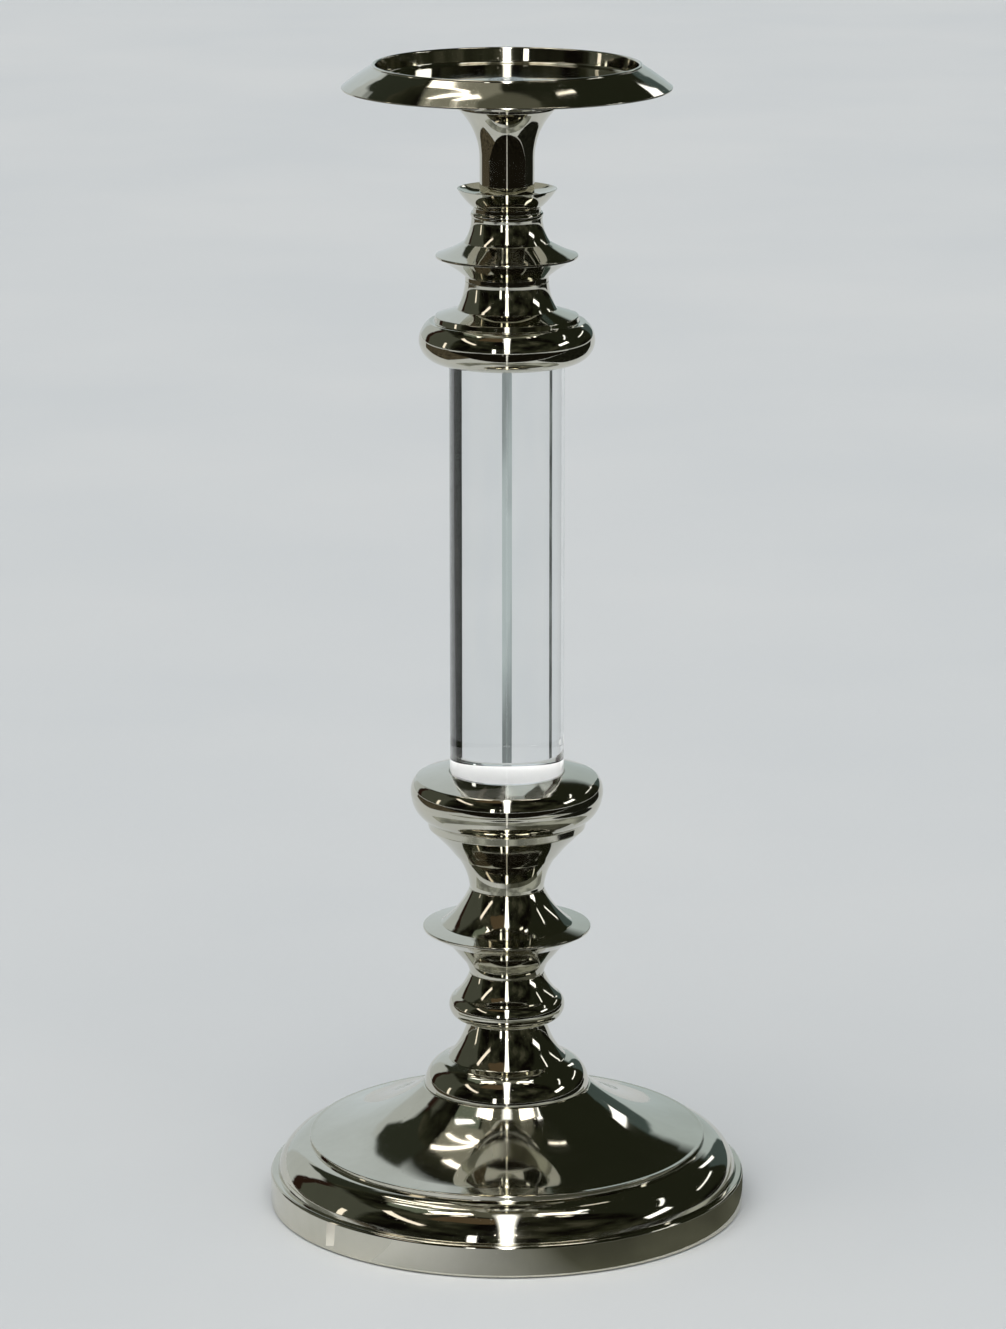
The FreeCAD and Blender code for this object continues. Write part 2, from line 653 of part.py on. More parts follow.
def make_rod(name, radius, seat, length):
    """A threaded rod at its outside diameter, bevelled at both ends."""
    outline = [
        line("0", "0"),
        line(f"{radius} - rod_chamfer", "0"),
        line(radius, "rod_chamfer"),
        line(radius, f"{length} - rod_chamfer"),
        line(f"{radius} - rod_chamfer", length),
        line("0", length),
    ]
    return sub_part(turned_body(name, seat, outline), name)


def make_rods():
    """The tie rod from its nut up into the capital, and the stud from the collar up into the cup neck."""
    nut_stack = "washer_thickness + spring_washer_thickness + nut_height"
    rod_foot = f"{WEIGHT_SEAT} + pocket_depth - ({nut_stack}) - rod_tail"
    rod_head = f"{CAPITAL_SEAT} + lower_thread_depth - rod_end_gap"
    make_rod("lower_tie_rod", "lower_rod_radius", rod_foot, f"{rod_head} - ({rod_foot})")
    stud_foot = f"{DISC_SEAT} - upper_thread_depth + rod_end_gap"
    stud_length = "disc_height + 2 * upper_thread_depth - 2 * rod_end_gap"
    make_rod("upper_tie_rod", "upper_rod_radius", stud_foot, stud_length)


def make_nut_and_washers():
    """Plain washer against the weight, then the spring washer, then the nut."""
    washer_seat = f"{WEIGHT_SEAT} + pocket_depth - washer_thickness"
    spring_seat = washer_seat + " - spring_washer_thickness"
    nut_seat = spring_seat + " - nut_height"
    washer = [
        line(LOWER_BORE, "0"),
        line("washer_radius", "0"),
        line("washer_radius", "washer_thickness"),
        line(LOWER_BORE, "washer_thickness"),
    ]
    sub_part(turned_body("base_washer", washer_seat, washer), "base_washer")
    ring = [
        line(LOWER_BORE, "0"),
        line("spring_washer_radius", "0"),
        line("spring_washer_radius", "spring_washer_thickness"),
        line(LOWER_BORE, "spring_washer_thickness"),
    ]
    whole = turned_body("spring_ring", spring_seat, ring)
    split = primitive(
        "Part::Box",
        "spring_split",
        Length="spring_washer_radius + spring_washer_split",
        Width="spring_washer_split",
        Height="spring_washer_thickness",
        Placement_Base_y="0 - spring_washer_split / 2",
        Placement_Base_z=spring_seat,
    )
    sub_part(cut("base_spring_washer", whole, split), "base_spring_washer")
    corner = f"nut_across_flats / {FLATS_TO_CORNERS}"
    blank = [
        line(LOWER_TAPPING, "0"),
        line(f"{corner} - nut_chamfer", "0"),
        line(corner, "nut_chamfer"),
        line(corner, "nut_height - nut_chamfer"),
        line(f"{corner} - nut_chamfer", "nut_height"),
        line(LOWER_TAPPING, "nut_height"),
    ]
    round_blank = turned_body("nut_blank", nut_seat, blank)
    nut = doc.addObject("Part::Common", "base_nut")
    nut.Base = round_blank
    nut.Tool = hexagon("nut_hexagon", "nut_across_flats", "nut_height", nut_seat)
    doc.recompute()
    sub_part(nut, "base_nut")


def make_plate_screw():
    """Countersunk screw through the plate into the cup neck, flush with the candle's seat."""
    reach = "plate_screw_reach"
    head_foot = f"{reach} + plate_height - recess_depth - plate_screw_head + upper_rod_radius"
    head_top = f"{reach} + plate_height - recess_depth"
    outline = [
        line("0", "0"),
        line("upper_rod_radius - rod_chamfer", "0"),
        line("upper_rod_radius", "rod_chamfer"),
        line("upper_rod_radius", head_foot),
        line("plate_screw_head", head_top),
        line("0", head_top),
    ]
    screw_seat = f"{PLATE_SEAT} - {reach}"
    blank = turned_body("plate_screw_blank", screw_seat, outline)
    socket_seat = f"{screw_seat} + {head_top} - key_depth"
    socket = hexagon("plate_screw_socket", "key_across_flats", "key_depth", socket_seat)
    return sub_part(cut("plate_screw", blank, socket), "plate_screw")


def build():
    """Makes every piece, from the felt up to the plate's screw."""
    fill_sheet()
    make_felt_pad()
    cover_holes = cover_screw_set("cover_screw_holes", "thread_clearance")
    make_base_cover(cover_holes)
    sub_part(cover_screw_set("cover_screws", "0"), "cover_screws")
    make_base_weight(cover_holes)
    make_base_shell()
    make_base_ferrule()
    make_knob()
    make_lower_flange()
    make_capital()
    make_rods()
    make_nut_and_washers()
    make_pad("column_pad_lower", LOWER_PAD_SEAT)
    make_column()
    make_pad("column_pad_upper", UPPER_PAD_SEAT)
    make_upper_collar()
    make_upper_disc()
    make_cup_neck()
    make_candle_plate()
    make_plate_screw()
    doc.recompute()


def check():
    """Stops if any object failed to build, or any piece's shape is missing or faulty."""
    for thing in doc.Objects:
        if "Invalid" in thing.State or "Error" in thing.State:
            raise RuntimeError(f"{thing.Name} failed to build: {thing.State}")
    for piece in pieces:
        if piece.Shape.isNull() or not piece.Shape.isValid():
            raise RuntimeError(f"{piece.Label} has no valid shape")


def write():
    """Writes each piece to parts/NAME.step."""
    os.makedirs("parts", exist_ok=True)
    for piece in pieces:
        piece.Shape.exportStep(f"parts/{piece.Label}.step")
        size = piece.Shape.optimalBoundingBox(False)
        print(
            f"{piece.Label:20s} {len(piece.Shape.Solids)} solid(s)  z {size.ZMin:7.2f} to {size.ZMax:7.2f}"
            f"  width {size.XLength:7.2f}  volume {piece.Shape.Volume / 1000:8.2f} cm3"
        )


build()
check()
write()
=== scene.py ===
# %% [markdown]
# # An altar candlestick
# The candlestick is a stack of brass turnings, nickel-plated and polished, with a clear acrylic bar between
# the lower and the upper stem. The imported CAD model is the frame: every piece below takes its place and its
# outline from it, so nothing has to be fitted by hand.

# %% Load the frame
import math

import bpy
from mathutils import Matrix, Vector


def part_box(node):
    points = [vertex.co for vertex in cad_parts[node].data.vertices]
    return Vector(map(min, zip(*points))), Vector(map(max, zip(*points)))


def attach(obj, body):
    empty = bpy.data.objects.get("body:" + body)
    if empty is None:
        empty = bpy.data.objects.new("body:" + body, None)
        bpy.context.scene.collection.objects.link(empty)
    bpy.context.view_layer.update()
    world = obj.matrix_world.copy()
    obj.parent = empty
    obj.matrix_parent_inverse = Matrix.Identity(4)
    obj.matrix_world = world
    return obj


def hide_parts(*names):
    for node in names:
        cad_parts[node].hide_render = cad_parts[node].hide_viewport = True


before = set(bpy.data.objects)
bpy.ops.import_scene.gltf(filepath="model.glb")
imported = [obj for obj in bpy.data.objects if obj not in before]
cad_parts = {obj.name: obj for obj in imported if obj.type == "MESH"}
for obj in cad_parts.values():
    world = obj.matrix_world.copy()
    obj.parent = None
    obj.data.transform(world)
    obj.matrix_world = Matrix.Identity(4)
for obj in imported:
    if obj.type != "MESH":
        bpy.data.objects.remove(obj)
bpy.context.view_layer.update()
MM = 0.001


# %% [markdown]
# ## Colours and nodes
# A colour is easiest to pick as an sRGB hex value, but Cycles works with linear light, so one function turns
# the first into the second. One more function adds any shader node with its settings and its links, which
# keeps each material short enough to read in one go.

# %% Colour and node helpers
def linear(code):
    """The linear RGBA of an sRGB hex colour."""
    channels = [int(code[i:i + 2], 16) / 255 for i in (1, 3, 5)]
    return [c / 12.92 if c <= 0.04045 else ((c + 0.055) / 1.055) ** 2.4 for c in channels] + [1.0]


def brighter(code, times):
    """The linear RGBA of an sRGB hex colour that many times as bright."""
    return [channel * times for channel in linear(code)[:3]] + [1.0]


def add_node(tree, kind, settings=None, inputs=None):
    """Adds a node. "stops" among its settings are a colour ramp's (place, RGBA) pairs. An input's value is a
    constant, an output socket to link, or a node, which links its first output."""
    node = tree.nodes.new(kind)
    for name, value in (settings or {}).items():
        if name != "stops":
            setattr(node, name, value)
            continue
        for index, (place, colour) in enumerate(value):
            elements = node.color_ramp.elements
            element = elements[index] if index < 2 else elements.new(place)
            element.position = place
            element.color = colour
    for name, value in (inputs or {}).items():
        if isinstance(value, bpy.types.Node):
            value = value.outputs[0]
        if isinstance(value, bpy.types.NodeSocket):
            tree.links.new(value, node.inputs[name])
        else:
            node.inputs[name].default_value = value
    return node


def new_material(name, **surface):
    """A material with a Principled surface. Its constants are set on the shader's own sockets."""
    material = bpy.data.materials.new(name)
    material.use_nodes = True
    tree = material.node_tree
    shader = tree.nodes["Principled BSDF"]
    for socket, value in surface.items():
        shader.inputs[socket.replace("_", " ")].default_value = value
    return material, tree, shader


def connect(tree, shader, **patterns):
    """Links each node's first output to the shader's socket of that name."""
    for socket, node in patterns.items():
        tree.links.new(node.outputs[0], shader.inputs[socket.replace("_", " ")])


print("white is", [round(c, 3) for c in linear("#ffffff")])

# %% [markdown]
# ## The camera
# It stands nearly two metres away and looks down at the candlestick, so that the base and the plate show as
# flat ellipses. A long lens keeps the stem's sides parallel. The camera comes first, because every later
# choice of finish and light is judged through it.

# %% Camera
CAMERA_DISTANCE = 1.7695
CAMERA_HEIGHT = 0.6301
CAMERA_SIDE = -0.00136
CAMERA_PITCH = 13.78  # degrees below the horizon
LENS = 141.3  # mm, on a 36 mm long side

camera = bpy.data.objects.new("camera", bpy.data.cameras.new("camera"))
bpy.context.scene.collection.objects.link(camera)
camera.location = (CAMERA_SIDE, -CAMERA_DISTANCE, CAMERA_HEIGHT)
camera.rotation_euler = (math.radians(90 - CAMERA_PITCH), 0, 0)
camera.data.lens = LENS
camera.data.sensor_width = 36
camera.data.dof.use_dof = False
camera.data.clip_end = 60
bpy.context.scene.camera = camera
print("camera at", [round(c, 3) for c in camera.location])


# %% [markdown]
# ## Floor and room
# Polished metal has almost no colour of its own: it looks like what stands round it. So the room matters more
# than the shader. The floor is pale paper under soft light. What the metal mirrors is a dim room with a pale
# backdrop in it, a few windows and the tubes of its ceiling lights. The world shader paints that room by
# azimuth and elevation. Everywhere else, where the camera sees the world and in the light that it throws on
# the floor, it is plain and pale, so that the candlestick can be looked at from all sides.

# %% Floor
PAPER = ("#d6d9da", "#dbdddd")
FLOOR_HALF = 9.0


def make_paper():
    material, tree, shader = new_material("studio_paper", Roughness=0.9, Specular_IOR_Level=0.2)
    place = add_node(tree, "ShaderNodeTexCoord").outputs["Object"]
    mottle = add_node(tree, "ShaderNodeTexNoise", inputs={"Vector": place, "Scale": 3.0, "Detail": 3.0})
    stops = [(0.35, linear(PAPER[0])), (0.65, linear(PAPER[1]))]
    shade = add_node(tree, "ShaderNodeValToRGB", {"stops": stops}, {"Fac": mottle})
    connect(tree, shader, Base_Color=shade)
    return material


def stage_sheet(name, corners, material):
    """A flat sheet that isn't part of the candlestick."""
    mesh = bpy.data.meshes.new(name)
    mesh.from_pydata(corners, [], [range(len(corners))])
    mesh.materials.append(material)
    sheet = bpy.data.objects.new(name, mesh)
    bpy.context.scene.collection.objects.link(sheet)
    return sheet


half = FLOOR_HALF
floor_corners = [(-half, -half, 0), (half, -half, 0), (half, half, 0), (-half, half, 0)]
print("floor:", stage_sheet("floor", floor_corners, make_paper()).name)

# %% [markdown]
# Each patch of the room is a soft-edged rectangle: its middle and half size in degrees, its tilt, its colour
# and its strength. Azimuth 0 is straight behind the candlestick, and grows to the right. Later patches lie
# over earlier ones. The patches stronger than 1 are the lamps.

# %% The room's colours and patches
ROOM_DARK = "#0d0b08"
ROOM_OLIVE = "#2a2c20"
ROOM_LIT = "#4b4a3d"
STUDIO_PALE = "#cfd2d4"
STUDIO_GLOW = 0.64  # how strongly the plain studio lights the floor
PATCHES = [
    # azimuth, elevation, half width, half height, tilt, colour, strength
    (0, 84, 180, 8, 0, "#68685a", 0.8),
    (-75, 18, 26, 26, 0, "#585b50", 0.8),
    (-80, 66, 24, 8, 0, "#7d8676", 0.8),
    (-150, 62, 24, 9, 0, "#6b5b44", 0.7),
    (-34, 67, 28, 10, 0, "#a3a293", 0.7),
    (-49, 16, 5, 22, 0, "#2c1e17", 1.0),
    (-34, 6, 12, 28, 0, "#c0c6c6", 1.0),
    (-11, 6, 12, 38, 0, "#ccd5da", 1.0),
    (-29, 40, 10, 9, -35, "#30342a", 1.0),
    (55, 38, 50, 34, 0, "#23261b", 1.0),
    (26, 8, 9, 16, 0, "#4c5957", 0.9),
    (8, -2, 9.5, 24, 0, "#b8c4c6", 1.0),
    (-117, 39, 19, 2.4, 24, "#fff4e8", 1.6),
    (-126, 72, 5, 1.8, -25, "#fff8ec", 3.0),
    (-110, 69, 1.6, 7, 0, "#fff8ec", 3.0),
    (-94, 70, 4, 1.8, 0, "#ffffff", 3.0),
    (-68, 66, 8, 2.0, -40, "#ffffff", 3.0),
    (-34, 62, 1.8, 8, 0, "#fff8ec", 4.0),
    (-42, 66, 9, 1.5, 45, "#fff8ec", 4.0),
    (-41, 72, 10, 1.3, 15, "#fff8ec", 4.0),
    (-18, 57, 5, 1.5, 0, "#fff8ec", 3.0),
    (83, 70, 5, 1.6, 0, "#ffffff", 3.0),
    (107, 70, 1.8, 6, -30, "#ffffff", 3.0),
    (124, 68, 4, 1.8, 30, "#fff8ec", 3.0),
    (135, 76, 3, 1.8, 0, "#ffffff", 3.0),
    (40, 64, 1.3, 3.5, 0, "#fff8ec", 2.5),
    (97, 19, 9, 3.2, -14, "#ffffff", 3.0),
    (80, 37, 10, 1.2, -35, "#ffffff", 2.0),
    (52, 20.5, 11, 1.0, 0, "#ffffff", 2.0),
    (27, 24, 2, 5, -20, "#ffffff", 2.0),
    (-163, 8, 2.2, 9, 0, "#ffffff", 3.5),
    (-90, 9, 2, 9, 0, "#fff6e8", 1.5),
]
lamps = [patch for patch in PATCHES if patch[-1] > 1]
print("room:", len(PATCHES), "patches,", len(lamps), "of them lamps")

# %% [markdown]
# In nodes, a patch is a measure of how far a direction lies from the patch's middle, in half sizes along its
# own two sides. Where the larger of the two is under 1, the patch covers what is under it.

# %% One patch
PATCH_EDGE = (1.08, 0.92)  # half sizes from the middle, where a patch starts and where it covers all


def room_patch(tree, under, spot, patch):
    """The colour under it, with one patch of the room laid over it."""
    azimuth, elevation, half_width, half_height, tilt, colour, strength = patch
    frame_of = {
        "Location": (azimuth, elevation, 0),
        "Rotation": (0, 0, math.radians(tilt)),
        "Scale": (half_width, half_height, 1),
    }
    own = add_node(tree, "ShaderNodeMapping", {"vector_type": "TEXTURE"}, {"Vector": spot, **frame_of})
    away = add_node(tree, "ShaderNodeVectorMath", {"operation": "ABSOLUTE"}, {0: own})
    sides = add_node(tree, "ShaderNodeSeparateXYZ", inputs={0: away})
    sides_out = {0: sides.outputs["X"], 1: sides.outputs["Y"]}
    farthest = add_node(tree, "ShaderNodeMath", {"operation": "MAXIMUM"}, sides_out)
    edge = {0: farthest, 1: PATCH_EDGE[0], 2: PATCH_EDGE[1], 3: 0.0, 4: 1.0}
    cover = add_node(tree, "ShaderNodeMapRange", inputs=edge)
    # A colour mix has its factor at 0, its two colours at 6 and 7, and gives its colour at 2.
    mixed = {0: cover, 6: under, 7: brighter(colour, strength)}
    return add_node(tree, "ShaderNodeMix", {"data_type": "RGBA"}, mixed).outputs[2]


print("a patch's edge is", round(PATCH_EDGE[0] - PATCH_EDGE[1], 2), "half sizes soft")

# %% [markdown]
# One long strip light rises behind the camera. Every turned piece mirrors it as a streak down its middle,
# because only there does the metal face straight forward.

# %% The strip light
STREAK_HALF = 0.010  # how wide the strip light is, as the sine of half its angle
STREAK_FADE = 0.07
STREAK_STRENGTH = 5.0
STREAK_END = 0.0  # how far back it reaches overhead
STREAK_END_FADE = 0.2


def strip_light(tree, way):
    """1 along a narrow arc behind the camera, and 0 elsewhere."""
    parts = add_node(tree, "ShaderNodeSeparateXYZ", inputs={0: way})
    aside = add_node(tree, "ShaderNodeMath", {"operation": "ABSOLUTE"}, {0: parts.outputs["X"]})
    ends = {0: aside, 1: STREAK_HALF + STREAK_FADE, 2: STREAK_HALF, 3: 0.0, 4: 1.0}
    narrow = add_node(tree, "ShaderNodeMapRange", {"interpolation_type": "SMOOTHERSTEP"}, ends)
    top = {0: parts.outputs["Y"], 1: STREAK_END, 2: STREAK_END - STREAK_END_FADE, 3: 0.0, 4: 1.0}
    ahead = add_node(tree, "ShaderNodeMapRange", inputs=top)
    return add_node(tree, "ShaderNodeMath", {"operation": "MULTIPLY"}, {0: narrow, 1: ahead})


print("strip light:", round(2 * math.degrees(math.asin(STREAK_HALF)), 2), "degrees wide before it fades")

# %% [markdown]
# The room itself is a cloud pattern in dim colours, with the patches laid over it. The same clouds move the
# point that is looked up, which makes the edges of the walls ragged. The lamps stay straight.

# %% The painted room
CLUTTER_SCALE = 3.2  # clouds per unit of direction, which makes them about 18 degrees across
CLUTTER_STOPS = [(0.40, linear(ROOM_DARK)), (0.56, linear(ROOM_OLIVE)), (0.72, linear(ROOM_LIT))]
RAGGED = 11.0  # degrees


def painted_room(tree, way):
    """The colour that shiny things mirror in each direction."""
    clouds = {"Vector": way, "Scale": CLUTTER_SCALE, "Detail": 4.0}
    clutter = add_node(tree, "ShaderNodeTexNoise", inputs=clouds)
    parts = add_node(tree, "ShaderNodeSeparateXYZ", inputs={0: way})
    flat = {0: parts.outputs["X"], 1: parts.outputs["Y"]}
    azimuth = add_node(tree, "ShaderNodeMath", {"operation": "ARCTAN2"}, flat)
    elevation = add_node(tree, "ShaderNodeMath", {"operation": "ARCSINE"}, {0: parts.outputs["Z"]})
    point = add_node(tree, "ShaderNodeCombineXYZ", inputs={"X": azimuth, "Y": elevation})
    degrees = math.degrees(1)
    spot = add_node(tree, "ShaderNodeMapping", inputs={"Vector": point, "Scale": (degrees, degrees, 1)})
    wander = {0: clutter.outputs["Color"], 1: (RAGGED,) * 3, 2: (-RAGGED / 2,) * 3}
    moved = add_node(tree, "ShaderNodeVectorMath", {"operation": "MULTIPLY_ADD"}, wander)
    ragged = add_node(tree, "ShaderNodeVectorMath", {"operation": "ADD"}, {0: spot, 1: moved})
    colour = add_node(tree, "ShaderNodeValToRGB", {"stops": CLUTTER_STOPS}, {"Fac": clutter}).outputs["Color"]
    for patch in PATCHES:
        colour = room_patch(tree, colour, spot if patch in lamps else ragged, patch)
    white = [STREAK_STRENGTH] * 3 + [1.0]
    lit = {0: strip_light(tree, way), 6: colour, 7: white}
    return add_node(tree, "ShaderNodeMix", {"data_type": "RGBA"}, lit).outputs[2]


print("the room's walls are ragged by up to", RAGGED / 2, "degrees either way")

# %% [markdown]
# The world shows that room to shiny things only. The Light Path node tells which kind of ray has asked.

# %% The world
def make_world():
    world = bpy.data.worlds.new("room")
    bpy.context.scene.world = world
    world.use_nodes = True
    tree = world.node_tree
    tree.nodes.clear()
    way = add_node(tree, "ShaderNodeTexCoord").outputs["Generated"]
    ray = add_node(tree, "ShaderNodeLightPath")
    seen = {
        0: ray.outputs["Is Camera Ray"],
        6: brighter(STUDIO_PALE, STUDIO_GLOW),
        7: linear(STUDIO_PALE),
    }
    plain = add_node(tree, "ShaderNodeMix", {"data_type": "RGBA"}, seen)
    sides = {0: ray.outputs["Is Glossy Ray"], 6: plain.outputs[2], 7: painted_room(tree, way)}
    shown = add_node(tree, "ShaderNodeMix", {"data_type": "RGBA"}, sides)
    background = add_node(tree, "ShaderNodeBackground", inputs={"Color": shown.outputs[2], "Strength": 1.0})
    add_node(tree, "ShaderNodeOutputWorld", inputs={"Surface": background})
    return world


print("world:", make_world().name)

# %% [markdown]
# ## Flags
# In a studio, black cards called flags lie beside a shiny thing, because metal with nothing dark to mirror
# looks like plastic. These lie just over the floor, where the paper of a real set would end. The camera
# doesn't see them: a card shows either in reflections or through the clear column.

# %% A flag
FLAG_CLOUDS = 9.0  # clouds per metre
FLAG_TONES = (0.6, 1.5)  # how dark and how bright a flag's clouds are, times its own colour


def flag_card(name, colour, corners, mirrored=True, fade=None):
    """A card that glows dimly by itself, seen only in reflections or, if not mirrored, through the acrylic. A
    fade is the range of x over which it turns from the paper's grey into its own colour."""
    material = bpy.data.materials.new(name)
    material.use_nodes = True
    tree = material.node_tree
    tree.nodes.clear()
    place = add_node(tree, "ShaderNodeTexCoord").outputs["Object"]
    cloudy = {"Vector": place, "Scale": FLAG_CLOUDS, "Detail": 3.0}
    clouds = add_node(tree, "ShaderNodeTexNoise", inputs=cloudy)
    stops = [(0.4, brighter(colour, FLAG_TONES[0])), (0.6, brighter(colour, FLAG_TONES[1]))]
    tone = add_node(tree, "ShaderNodeValToRGB", {"stops": stops}, {"Fac": clouds}).outputs["Color"]
    if fade:
        across = add_node(tree, "ShaderNodeSeparateXYZ", inputs={0: place})
        amount = add_node(tree, "ShaderNodeMapRange", inputs={0: across.outputs["X"], 1: fade[0], 2: fade[1]})
        ends = {0: amount, 6: linear(PAPER[0]), 7: tone}
        tone = add_node(tree, "ShaderNodeMix", {"data_type": "RGBA"}, ends).outputs[2]
    glow = add_node(tree, "ShaderNodeEmission", inputs={"Color": tone})
    add_node(tree, "ShaderNodeOutputMaterial", inputs={"Surface": glow})
    card = stage_sheet(name, corners, material)
    card.visible_camera = False
    card.visible_diffuse = False
    card.visible_shadow = False
    card.visible_glossy = mirrored
    card.visible_transmission = not mirrored


def ring_sector(inner, outer, start, end, steps):
    """The corners of a flat ring sector over the floor. Its angles are in degrees, 0 to the right."""
    angles = [math.radians(start + (end - start) * step / steps) for step in range(steps + 1)]
    rim = [(outer, angle) for angle in angles] + [(inner, angle) for angle in reversed(angles)]
    return [(radius * math.cos(angle), radius * math.sin(angle)) for radius, angle in rim]


print("a flag's clouds are", round(1000 / FLAG_CLOUDS), "mm across")

# %% [markdown]
# Flags lie in front and on both sides, beyond a grey one close to the base. Two more show only through the
# column, which swaps left and right: the dark one is the band at its left, and the grey one is the line at
# its right.

# %% Flags on the floor
OVER_FLOOR = 0.0004
FLAGS = {
    # name: colour, corners on the floor
    "near_flag": ("#93968f", ring_sector(inner=0.15, outer=0.24, start=-200, end=40, steps=40)),
    "front_flag": ("#16140e", [(-3, -4), (3, -4), (3, -0.24), (-0.1, -0.26), (-3, -0.5)]),
    "right_flag": ("#1b1c16", [(0.24, -0.24), (4, -0.24), (4, 4.8), (0.44, 0.5), (0.26, 0.12)]),
    "left_flag": ("#4d473a", [(-0.34, 0.1), (-0.38, -0.3), (-4, -0.6), (-4, 3.4), (-0.9, 0.8)]),
}
THROUGH = {
    # name: colour, corners on the floor
    "column_shade": ("#0f120f", [(0.3, 0.37), (1.5, 1.85), (2.4, 0.2), (0.48, 0.04)]),
    "column_line": ("#565b58", [(-0.28, 0.395), (-1.3, 1.85), (-1.51, 1.85), (-0.325, 0.395)]),
}
for name, (colour, corners) in FLAGS.items():
    flag_card(name, colour, [(x, y, OVER_FLOOR) for x, y in corners])
for name, (colour, corners) in THROUGH.items():
    flag_card(name, colour, [(x, y, OVER_FLOOR) for x, y in corners], mirrored=False)
print("flags:", ", ".join(FLAGS), "- through the column:", ", ".join(THROUGH))

# %% [markdown]
# The base's skirt mirrors the floor right beside it, so a flag starts there too. It fades to the paper's grey
# on the left, where the skirt is pale. A standing grey card behind the column is a painted shadow: it stands
# for the shadow that the column casts on the paper behind it, and gives the column the dim line down its
# middle. Last come two white slips that glow by themselves: one lies in front and lights the upright metal's
# middle, and a small one puts a spark on the skirt.

# %% Skirt flag, the column's painted shadow, and slips
skirt_ring = ring_sector(inner=0.0865, outer=0.15, start=-125, end=20, steps=24)
flag_card("skirt_flag", "#4c4d43", [(x, y, OVER_FLOOR) for x, y in skirt_ring], fade=(-0.055, 0.03))
column_low, column_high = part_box("column")
# The column's painted shadow: a grey card standing behind the column in place of the shadow that the column
# casts on the paper, seen only through the acrylic.
STRIP_BEHIND = 0.33
STRIP_HALF = 0.017
STRIP_BELOW = 0.16  # how far the strip reaches below the column, because the camera looks down
strip_foot = column_low.z - STRIP_BELOW
strip_corners = [(-STRIP_HALF, strip_foot), (STRIP_HALF, strip_foot)]
strip_corners += [(STRIP_HALF, column_high.z), (-STRIP_HALF, column_high.z)]
strip_corners = [(x, STRIP_BEHIND, z) for x, z in strip_corners]
flag_card("painted_column_shadow", "#8f9796", strip_corners, mirrored=False)
SLIPS = {
    # name: corners on the floor
    "front_slip": [(-0.002, -0.12), (0.002, -0.12), (0.06, -3), (-0.06, -3)],
    "skirt_slip": [(-0.0655, -0.0556), (-0.0655, -0.0588), (-0.104, -0.0586), (-0.104, -0.0508)],
}
for name, corners in SLIPS.items():
    flag_card(name, "#ffffff", [(x, y, 2 * OVER_FLOOR) for x, y in corners])
print("skirt flag and column strip, with", len(SLIPS), "slips")


# %% [markdown]
# ## Lights
# A broad soft light overhead lights the floor evenly. A small bright light just over the lens puts a spark on
# every rounded edge that faces the camera, and two tubes nearly overhead lie along the base's crowned rim as
# long thin dashes. Only what is shiny shows these three.

# %% Lights
def area_light(name, place, target, width, height, watts, colour):
    """A rectangular light at a place, turned towards a target, that only shiny things show."""
    light = bpy.data.lights.new(name, "AREA")
    light.shape = "RECTANGLE"
    light.size = width
    light.size_y = height
    light.energy = watts
    light.color = linear(colour)[:3]
    thing = bpy.data.objects.new(name, light)
    bpy.context.scene.collection.objects.link(thing)
    thing.location = place
    thing.rotation_euler = (Vector(target) - Vector(place)).to_track_quat("-Z", "Y").to_euler()
    thing.visible_camera = False
    thing.visible_diffuse = False


def soft_sky(name, tilt, turn, strength, spread):
    """Broad, even light on the floor. The metal doesn't mirror it, as if it came through a wide cloth."""
    light = bpy.data.lights.new(name, "SUN")
    light.energy = strength
    light.angle = math.radians(spread)
    thing = bpy.data.objects.new(name, light)
    bpy.context.scene.collection.objects.link(thing)
    thing.rotation_euler = (math.radians(tilt), 0, math.radians(turn))
    thing.visible_glossy = False


STEM_MIDDLE = (0, 0, 0.2)
TUBE_Y = -0.2
TUBE_HEIGHT = 2.3
TUBE_LENGTH = 0.55
TUBE_WIDTH = 0.25
TUBE_LIGHT = {"width": TUBE_LENGTH, "height": TUBE_WIDTH, "watts": 2.0, "colour": "#fff8ec"}
FLASH_ASIDE = 0.006
FLASH_OVER_LENS = 0.045
flash_place = (FLASH_ASIDE, -CAMERA_DISTANCE, CAMERA_HEIGHT + FLASH_OVER_LENS)
area_light("flash", flash_place, STEM_MIDDLE, width=0.09, height=0.055, watts=25.0, colour="#fffaf2")
for name, x in (("left_tube", -0.66), ("right_tube", 0.62)):
    area_light(name, (x, TUBE_Y, TUBE_HEIGHT), (x, TUBE_Y, 0), **TUBE_LIGHT)
soft_sky("soft_sky", tilt=28, turn=-20, strength=1.75, spread=70)
print("lights: a flash, two tubes and a soft sky")

# %% [markdown]
# ## Contrast
# The standard view keeps the full contrast between dark reflections and bright ones, which polished metal
# needs.

# %% View
bpy.context.scene.view_settings.view_transform = "Standard"
print("view:", bpy.context.scene.view_settings.view_transform)


# %% [markdown]
# ## From an outline to a turned piece
# A turned piece is one outline spun about the stem's axis. The CAD node already has that outline: the edges
# of its mesh that lie in the plane through the axis. Reading it there keeps the piece exactly in place. The
# CAD corners are razor sharp, though, and real polished metal never is, because buffing takes every corner
# off. So the outline gets small rounds at its corners, and finer steps on its curves, before it is spun.

# %% Reading an outline
ON_PLANE = 1e-6  # metres: how far from the plane a point may lie
ON_AXIS = 1e-7


def outline_graph(node):
    """The CAD node's outline as {point: its neighbours}, each point a (radius, height) in mm."""
    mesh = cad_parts[node].data
    graph = {}
    on_plane = {}
    for vertex in mesh.vertices:
        if abs(vertex.co.y) < ON_PLANE and vertex.co.x > -ON_AXIS:
            on_plane[vertex.index] = (round(max(vertex.co.x, 0) / MM, 4), round(vertex.co.z / MM, 4))
    for edge in mesh.edges:
        a, b = (on_plane.get(index) for index in edge.vertices)
        if a and b and a != b and (a[0] > 0 or b[0] > 0):
            graph.setdefault(a, set()).add(b)
            graph.setdefault(b, set()).add(a)
    return graph


